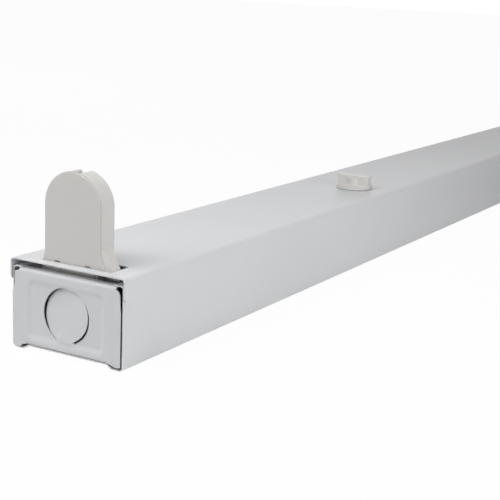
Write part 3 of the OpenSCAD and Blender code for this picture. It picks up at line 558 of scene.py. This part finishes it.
def end_plate(side, turn):
    """One end plate: turn is 1 at the left end, and -1 at the right for its half turn."""
    flat, cells = filled(*blank_loops())
    x, z = folded(flat[:, 0], flat[:, 1])
    placed = np.stack((turn * (x - HALF_LEN), turn * flat[:, 0], z), 1)
    piece = new_piece(f"end_plate_{side}_sheet", placed, cells.tolist())
    shape = bmesh.new()
    shape.from_mesh(piece.data)
    loose = [v for v in shape.verts if not v.link_faces]
    bmesh.ops.delete(shape, geom=loose, context="VERTS")
    shape.to_mesh(piece.data)
    shape.free()
    upright = min(piece.data.polygons, key=lambda face: abs(face.center[2] / MM - SHOULDER_Z))
    if upright.normal[0] * turn > 0:
        piece.data.flip_normals()
    sheet = piece.modifiers.new("sheet", "SOLIDIFY")
    sheet.thickness = SHEET * MM
    sheet.offset = -1
    sheet.use_even_offset = True
    rounded_edges(piece, "rim", PLATE_EDGE, PLATE_EDGE_STEPS, PLATE_SHARP)
    finish_piece(piece, ENAMEL, "channel", [f"end_plate_{side}"])


end_plate("left", 1)
end_plate("right", -1)


# Wires, along the same routes as in the solids
WIRE_R = 1.15
WIRE_BEND = 9.0
WIRE_SIDES = 20
WIRE_SHARP = 60
BEND_POINTS = 10
LEAST_STEP = 0.05
# The lane's Y and Z, the block's X and Y, the earth stud's place, and a wire's way into the lane
LANE = (12.0, 4.0)
BLOCK = (70.0, -6.0)
EARTH = (105.0, 5.0, 4.6)
LANE_LEAD = 3 * WIRE_BEND
POLE_PITCH = 10.0
POLE_Z = 9.3
POLE_OUT = 2.5
POLE_RUN = 8.5
# Where a wire leaves the lane and meets the lampholder's contact, from the batten's end
TURN_IN = 50.55
TAB_X = 9.65
TAB_Z = 30.4
UNDER_HOLDER = 13.2
HOLDER_Y = 1.0


def bent(route):
    """The route with each corner replaced by a parabola.

    The parabola touches both legs at one distance from the corner.
    """
    route = [Vector(point) for point in route]
    points = [route[0]]
    for before, corner, after in zip(route, route[1:], route[2:]):
        cut = min(WIRE_BEND, (before - corner).length / 2, (after - corner).length / 2)
        start = corner + (before - corner).normalized() * cut
        end = corner + (after - corner).normalized() * cut
        points += [start * (1 - t) ** 2 + corner * 2 * t * (1 - t) + end * t ** 2
                   for t in np.linspace(0, 1, BEND_POINTS)]
    points.append(route[-1])
    return [p for p, last in zip(points, [None] + points)
            if last is None or (p - last).length > LEAST_STEP]


def wire(route, material, node):
    """A tube along the bent route.

    Each ring of points is square to the way between its neighbours, and starts at the last ring's
    first side, turned as little as it can be. stripe is the cosine of twice the angle round it.
    """
    path = bent(route)
    side = Vector((0, 0, 1))
    angles = np.arange(WIRE_SIDES) * 2 * math.pi / WIRE_SIDES
    points = []
    for i, place in enumerate(path):
        along = (path[min(i + 1, len(path) - 1)] - path[max(i - 1, 0)]).normalized()
        side = (side - along * side.dot(along)).normalized()
        up = along.cross(side)
        points += [place + WIRE_R * (side * math.cos(a) + up * math.sin(a)) for a in angles]
    rings = np.arange(len(points)).reshape(len(path), WIRE_SIDES)
    turned = np.roll(rings, -1, axis=1)
    faces = np.stack([rings[:-1], turned[:-1], turned[1:], rings[1:]], axis=-1)
    ends = [rings[0][::-1].tolist(), rings[-1].tolist()]
    piece = new_piece(node + "_tube", points, faces.reshape(-1, 4).tolist() + ends)
    stripe = piece.data.attributes.new("stripe", "FLOAT", "POINT")
    stripe.data.foreach_set("value", np.tile(np.cos(2 * angles), len(path)))
    finish_piece(piece, material, "channel", [node], sharp=WIRE_SHARP)


def out_of_pole(place, bend):
    """The X of a pole of the block, and the route straight out of it to a corner."""
    x = BLOCK[0] + place * POLE_PITCH
    return x, [(x, BLOCK[1] + POLE_OUT, POLE_Z), (x, BLOCK[1] + POLE_RUN + bend, POLE_Z)]


def long_route(place, s):
    """From a pole to the lane, along it to side s, and up to the contact of that lampholder."""
    x, start = out_of_pole(place, WIRE_BEND)
    y = -s * HOLDER_Y
    return start + [
        (x + s * WIRE_BEND, *LANE), (x + s * LANE_LEAD, *LANE),
        (s * (HALF_LEN - TURN_IN - 2 * WIRE_BEND), *LANE), (s * (HALF_LEN - TURN_IN), *LANE),
        (s * (HALF_LEN - TURN_IN + WIRE_BEND), y, UNDER_HOLDER),
        (s * (HALF_LEN - TAB_X), y, UNDER_HOLDER), (s * (HALF_LEN - TAB_X), y, TAB_Z)]


wire(long_route(-1, -1), BROWN, "line_wire")
wire(long_route(0, 1), BLUE, "neutral_wire")
earth_x, earth_start = out_of_pole(1, WIRE_BEND / 2)
wire(earth_start + [(earth_x + WIRE_BEND, *EARTH[1:]), EARTH], STRIPED,
     "earth_wire")


# Solids that keep their own shape
KEPT = (
    (ZINC, ["end_rivets", "latch_bracket_left", "latch_bracket_right", "latch_studs",
            "holder_bracket_left", "holder_bracket_right", "terminal_screws",
            "terminal_fixing_screws", "earth_washer"]),
    (BRONZE, ["lamp_contact_left", "lamp_contact_right"]),
    (BRASS, ["terminal_clamps", "earth_stud", "earth_ring", "earth_nut", "knob_insert_left",
             "knob_insert_right"]),
    (POLYAMIDE, ["terminal_block"]),
    (NYLON, ["wire_clips"]),
)
for material, nodes in KEPT:
    for node in nodes:
        slots = frame["nodes"][node].data.materials
        slots.clear()
        slots.append(material)


# Camera, at the photograph's place and angle
CAMERA_AT = (-337.163 - HALF_LEN, -271.083, 145.861)
CAMERA_RIGHT = (0.50125, -0.86428, 0.04206)
CAMERA_DOWN = (-0.17583, -0.14932, -0.97303)
CAMERA_AHEAD = (0.84725, 0.48034, -0.22681)
FOCAL_PIXELS = 1160.68
SENSOR = 36.0
CLIP_METRES = (0.01, 50)


def camera():
    """The camera, turned by the picture's right, down and forward directions."""
    data = bpy.data.cameras.new("camera")
    data.sensor_width = SENSOR
    data.lens = FOCAL_PIXELS * SENSOR / PHOTO_SIDE
    data.clip_start, data.clip_end = CLIP_METRES
    axes = (Vector(CAMERA_RIGHT), -Vector(CAMERA_DOWN), -Vector(CAMERA_AHEAD))
    turn = Matrix(axes).transposed().to_4x4()
    thing = linked("camera", data)
    thing.matrix_world = Matrix.Translation(Vector(CAMERA_AT) * MM) @ turn
    bpy.context.scene.camera = thing


# Light and floor
WORLD_LIGHT = 0.05
FLOOR_HALF = 6000
FLOOR_WHITE = 0.97
NEAR_PART = (-0.5, 0, 0.03)
FAR_PART = (0.35, 0, 0.03)
# Each light's place, aim and side in metres, and its power in watts
LAMPS = (
    ("top_light", (-0.72, 0.05, 0.55), NEAR_PART, 0.45, 1.9),
    ("front_light", (-1.05, 0.30, 0.50), NEAR_PART, 0.45, 1.63),
    ("side_light", (-0.60, -0.58, 0.12), NEAR_PART, 0.4, 1.22),
    ("inner_light", (-0.49, -0.55, 0.10), NEAR_PART, 0.35, 0.62),
    ("back_light", (0.10, 1.00, 0.16), FAR_PART, 0.3, 1.2),
    ("end_light", (1.15, 0.10, 0.16), FAR_PART, 0.3, 0.5),
)


def seen_straight(tree):
    """1 for rays that the camera, a mirror or glass sends, and 0 for the rest."""
    path = add(tree, "ShaderNodeLightPath")
    first = add(tree, "ShaderNodeMath",
                {0: path.outputs["Is Camera Ray"], 1: path.outputs["Is Glossy Ray"]},
                operation="MAXIMUM")
    return add(tree, "ShaderNodeMath",
               {0: first.outputs[0], 1: path.outputs["Is Transmission Ray"]},
               operation="MAXIMUM").outputs[0]


def world():
    """Even light from all round, and white where the camera or a mirror looks past the floor."""
    place = bpy.data.worlds.new("studio")
    bpy.context.scene.world = place
    tree = empty_tree(place)
    strength = add(tree, "ShaderNodeMapRange",
                   {"Value": seen_straight(tree), "To Min": WORLD_LIGHT, "To Max": 1.0})
    sky = add(tree, "ShaderNodeBackground",
              {"Color": (1, 1, 1, 1), "Strength": strength.outputs["Result"]})
    add(tree, "ShaderNodeOutputWorld", {"Surface": sky.outputs["Background"]})


def floor():
    """A wide pale floor that the camera and mirrors see as white, less the object's shadow."""
    half = FLOOR_HALF
    corners = [(-half, -half, 0), (half, -half, 0), (half, half, 0), (-half, half, 0)]
    piece = new_piece("floor", corners, [(0, 1, 2, 3)])
    material = bpy.data.materials.new("pale_floor")
    tree = empty_tree(material)
    plain = add(tree, "ShaderNodeBsdfDiffuse", {"Color": linear("EDEDED")})
    bright = add(tree, "ShaderNodeEmission", {"Color": (1, 1, 1, 1), "Strength": 1.0})
    share = add(tree, "ShaderNodeMapRange",
                {"Value": seen_straight(tree), "To Max": FLOOR_WHITE})
    mixed = add(tree, "ShaderNodeMixShader",
                {0: share.outputs["Result"], 1: plain.outputs[0], 2: bright.outputs[0]})
    add(tree, "ShaderNodeOutputMaterial", {"Surface": mixed.outputs[0]})
    piece.data.materials.append(material)


def lamp(name, at, aim, side, watts):
    """A square soft light at a place, aimed at another, both in metres."""
    data = bpy.data.lights.new(name, "AREA")
    data.shape = "SQUARE"
    data.size = side
    data.energy = watts
    way = Vector(aim) - Vector(at)
    turn = way.to_track_quat("-Z", "Y").to_matrix().to_4x4()
    linked(name, data).matrix_world = Matrix.Translation(at) @ turn


camera()
world()
floor()
for settings in LAMPS:
    lamp(*settings)
bpy.context.scene.view_settings.view_transform = "Standard"
# Light thrown on by glossy faces adds specks and no shape
bpy.context.scene.cycles.caustics_reflective = False
